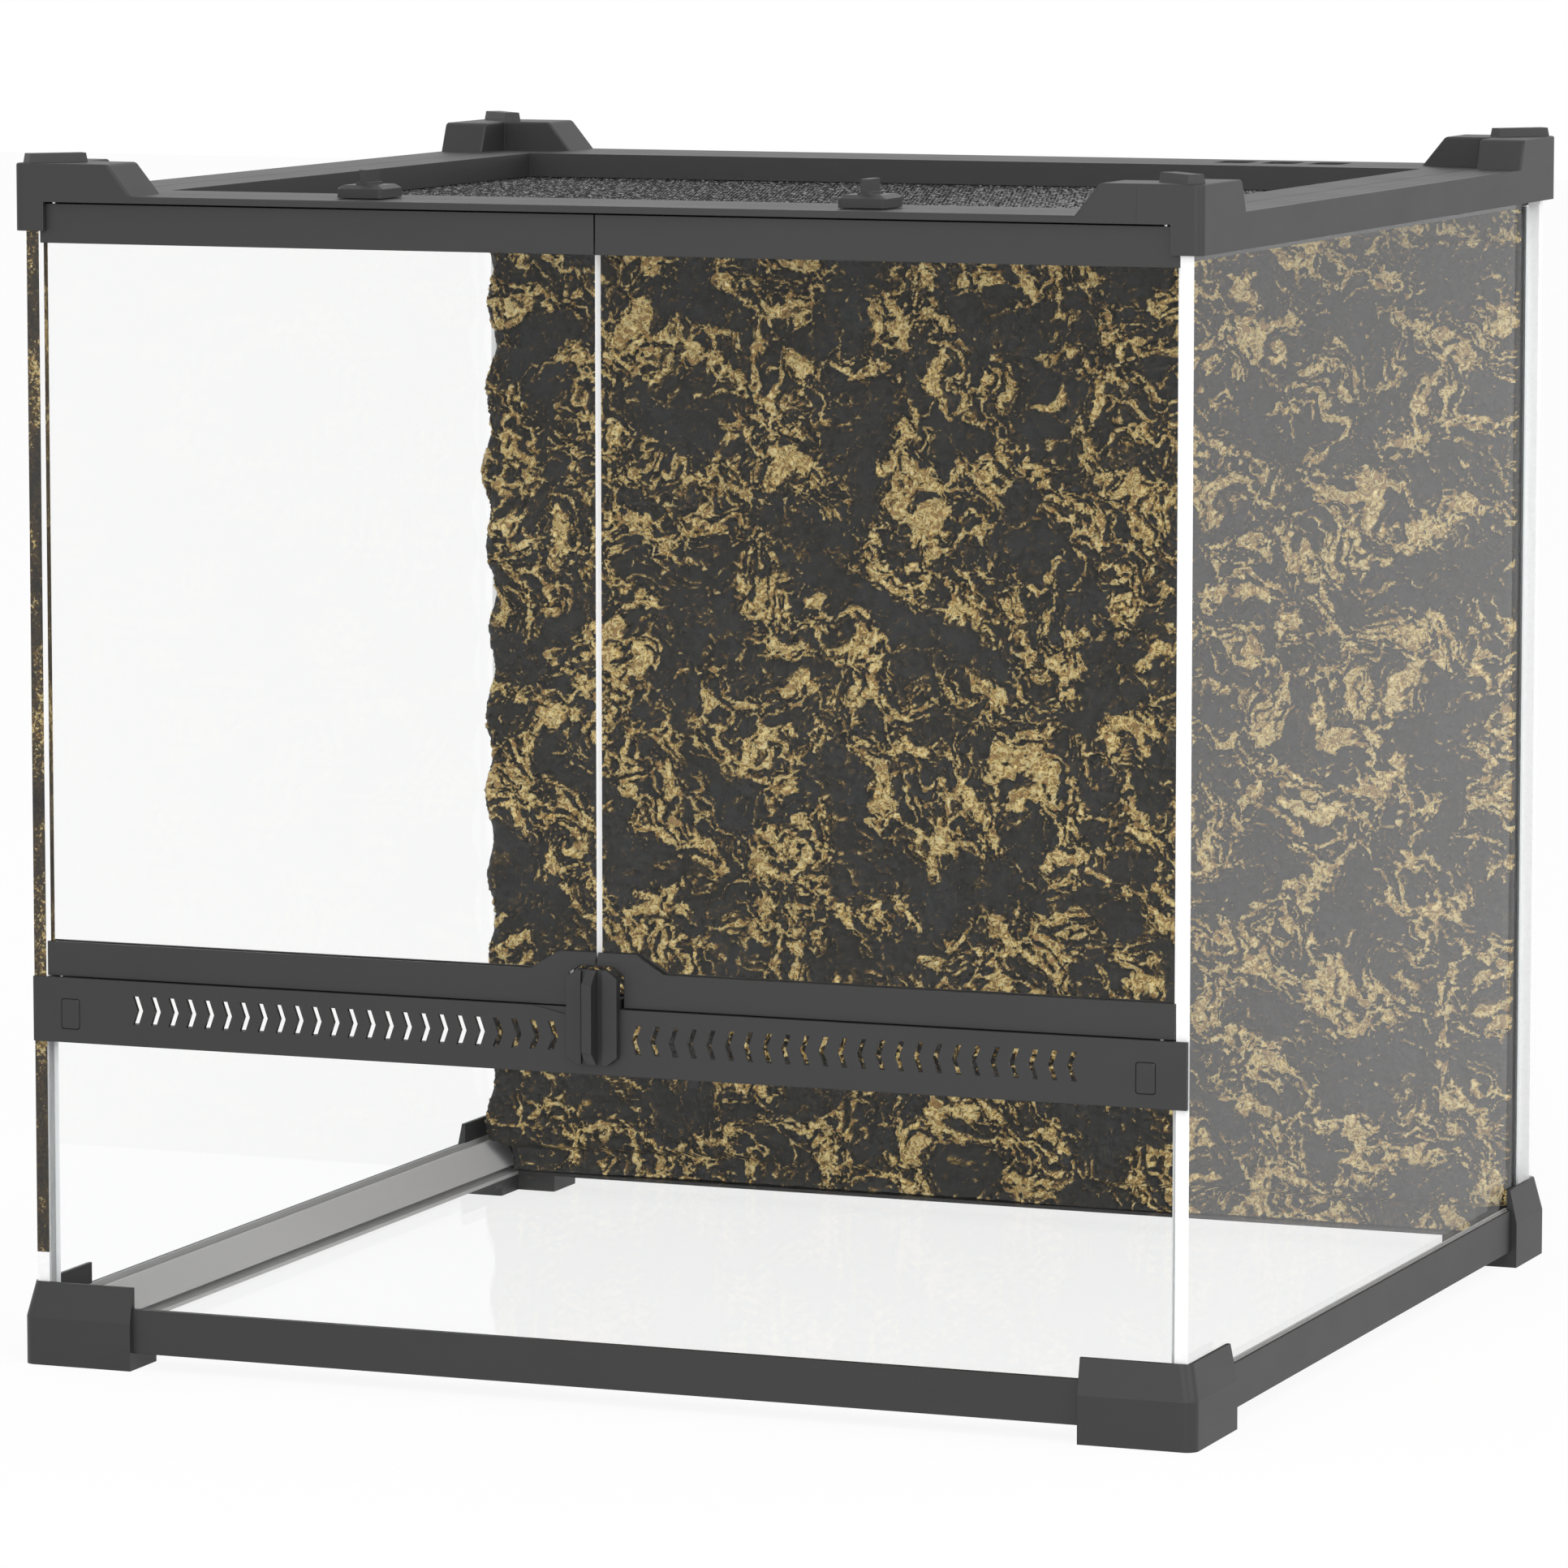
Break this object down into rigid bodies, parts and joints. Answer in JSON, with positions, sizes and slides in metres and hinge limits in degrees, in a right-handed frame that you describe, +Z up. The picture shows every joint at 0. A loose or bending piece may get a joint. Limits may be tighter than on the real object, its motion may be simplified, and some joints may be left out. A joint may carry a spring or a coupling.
{
  "type": "reptile terrarium",
  "caption": "Glass terrarium in a plastic frame with two outward-opening front doors, a slotted vent strip with a turn latch, a lift-out mesh lid and a rock-relief backdrop.",
  "frame": {"origin": "middle of the footprint, on the surface that the boots stand on", "axes": "+Z up, -Y out of the doors, +X to the right seen from the front"},
  "size_m": [0.461, 0.4432, 0.4505],
  "materials": {
    "frame_plastic": "matte charcoal ABS with a fine moulded grain",
    "fittings_plastic": "matte charcoal ABS, smoother than the frame",
    "clear_glass": "clear float glass with polished edges",
    "silicone": "clear silicone, softly glossy",
    "steel": "plain steel",
    "mesh_wire": "black-coated fine wire mesh",
    "rock_relief": "foam moulded as rough rock, painted charcoal with broken ochre veins"
  },
  "bodies": {
    "tank": {"bottom_rail_front": "frame_plastic", "bottom_rail_rear": "frame_plastic", "bottom_rail_left": "frame_plastic", "bottom_rail_right": "frame_plastic", "boot_front_left": "frame_plastic", "boot_front_right": "frame_plastic", "boot_rear_left": "frame_plastic", "boot_rear_right": "frame_plastic", "pane_left": "clear_glass", "pane_right": "clear_glass", "pane_rear": "clear_glass", "pane_front": "clear_glass", "pane_floor": "clear_glass", "silicone_front_left": "silicone", "silicone_front_right": "silicone", "silicone_rear_left": "silicone", "silicone_rear_right": "silicone", "top_frame_left": "frame_plastic", "top_frame_right": "frame_plastic", "top_frame_front": "frame_plastic", "top_frame_rear": "frame_plastic", "vent_strip": "frame_plastic", "vent_cover_left": "fittings_plastic", "vent_cover_right": "fittings_plastic", "backdrop": "rock_relief"},
    "door_left": {"door_pane_left": "clear_glass", "door_strip_top_left": "frame_plastic", "door_strip_bottom_left": "frame_plastic", "hinge_pin_upper_left": "steel", "hinge_pin_lower_left": "steel"},
    "door_right": {"door_pane_right": "clear_glass", "door_strip_top_right": "frame_plastic", "door_strip_bottom_right": "frame_plastic", "hinge_pin_upper_right": "steel", "hinge_pin_lower_right": "steel"},
    "front_latch": {"front_latch_knob": "fittings_plastic", "front_latch_retainer": "steel"},
    "lid": {"lid_frame": "frame_plastic", "lid_mesh": "mesh_wire", "mesh_retainer": "frame_plastic"},
    "lid_latch_left": {"lid_knob_left": "fittings_plastic", "lid_cam_left": "fittings_plastic"},
    "lid_latch_right": {"lid_knob_right": "fittings_plastic", "lid_cam_right": "fittings_plastic"}
  },
  "joints": [
    {"name": "door_left_hinge", "type": "hinge", "parent": "tank", "child": "door_left", "pos_m": [-0.2155, -0.21055, 0.289], "axis": [0, 0, -1], "range_deg": [0, 100]},
    {"name": "door_right_hinge", "type": "hinge", "parent": "tank", "child": "door_right", "pos_m": [0.2155, -0.21055, 0.289], "axis": [0, 0, 1], "range_deg": [0, 100]},
    {"name": "front_latch_turn", "type": "hinge", "parent": "tank", "child": "front_latch", "pos_m": [0, -0.21395, 0.143], "axis": [0, 1, 0], "range_deg": [0, 90]},
    {"name": "lid_lift", "type": "slide", "parent": "tank", "child": "lid", "axis": [0, 0, 1], "range_m": [0, 0.12]},
    {"name": "lid_latch_left_turn", "type": "hinge", "parent": "lid", "child": "lid_latch_left", "pos_m": [-0.0975, -0.18405, 0.4355], "axis": [0, 0, 1], "range_deg": [0, 90]},
    {"name": "lid_latch_right_turn", "type": "hinge", "parent": "lid", "child": "lid_latch_right", "pos_m": [0.0975, -0.18405, 0.4355], "axis": [0, 0, 1], "range_deg": [-90, 0]}
  ]
}
